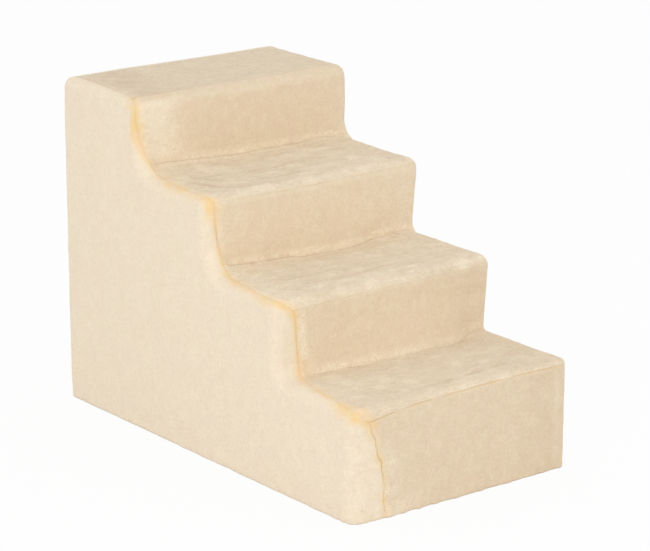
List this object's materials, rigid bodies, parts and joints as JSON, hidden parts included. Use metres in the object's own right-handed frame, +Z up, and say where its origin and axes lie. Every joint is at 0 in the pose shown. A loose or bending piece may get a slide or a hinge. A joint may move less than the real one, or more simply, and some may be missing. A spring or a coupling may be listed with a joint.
{
  "type": "pet stairs",
  "caption": "Stepped pet stairs with a snap-together plastic frame under a fitted cream plush cover, rounded noses, rubber feet and a zip down the back.",
  "frame": {"origin": "on the floor, under the middle of the stairs' overall box", "axes": "+Z up, +Y from the lowest step to the back, +X to the right of someone who faces the steps"},
  "size_m": [0.38, 0.7, 0.5],
  "materials": {
    "frame_plastic": "moulded light grey polypropylene",
    "screw_steel": "zinc-plated steel",
    "foot_rubber": "matt black rubber",
    "side_plush": "short-pile cream plush, flat and taut",
    "step_plush": "the same plush, a little browner on the steps",
    "flap_fabric": "woven backing cloth",
    "hook_tape": "hook tape, off-white",
    "loop_tape": "loop tape, cream",
    "zip_tape": "woven cream tape",
    "zip_teeth": "cream nylon",
    "zip_metal": "nickel-plated"
  },
  "bodies": {
    "stairs": {"left_side_panel": "frame_plastic", "right_side_panel": "frame_plastic", "tread_board_1": "frame_plastic", "tread_board_2": "frame_plastic", "tread_board_3": "frame_plastic", "tread_board_4": "frame_plastic", "riser_board_1": "frame_plastic", "riser_board_2": "frame_plastic", "riser_board_3": "frame_plastic", "riser_board_4": "frame_plastic", "back_board": "frame_plastic", "front_rail": "frame_plastic", "middle_rail": "frame_plastic", "rear_rail": "frame_plastic", "rail_screws_left": "screw_steel", "rail_screws_right": "screw_steel", "foot_front_left": "foot_rubber", "foot_front_right": "foot_rubber", "foot_rear_left": "foot_rubber", "foot_rear_right": "foot_rubber", "left_side_cover": "side_plush", "right_side_cover": "side_plush", "tread_cover_1": "step_plush", "tread_cover_2": "step_plush", "tread_cover_3": "step_plush", "tread_cover_4": "step_plush", "riser_cover_1": "step_plush", "riser_cover_2": "step_plush", "riser_cover_3": "step_plush", "riser_cover_4": "step_plush", "back_cover_left": "side_plush", "back_cover_right": "side_plush", "tuck_flap_1": "flap_fabric", "tuck_flap_2": "flap_fabric", "tuck_flap_3": "flap_fabric", "hook_tape_left": "hook_tape", "hook_tape_right": "hook_tape", "hook_tape_front": "hook_tape", "hook_tape_rear": "hook_tape", "loop_tape_left": "loop_tape", "loop_tape_right": "loop_tape", "loop_tape_front": "loop_tape", "loop_tape_rear": "loop_tape", "zip_tape_left": "zip_tape", "zip_tape_right": "zip_tape", "zip_teeth_left": "zip_teeth", "zip_teeth_right": "zip_teeth", "zip_top_stop": "zip_metal", "zip_end_stops": "zip_metal"},
    "zip_slider": {"zip_slider": "zip_metal"},
    "zip_pull": {"zip_pull": "zip_metal"}
  },
  "joints": [
    {"name": "zip_slide", "type": "slide", "parent": "stairs", "child": "zip_slider", "axis": [0, 0, 1], "range_m": [0, 0.38]},
    {"name": "pull_swing", "type": "hinge", "parent": "zip_slider", "child": "zip_pull", "pos_m": [0, 0.3468, 0.0494], "axis": [1, 0, 0], "range_deg": [0, 150]}
  ]
}
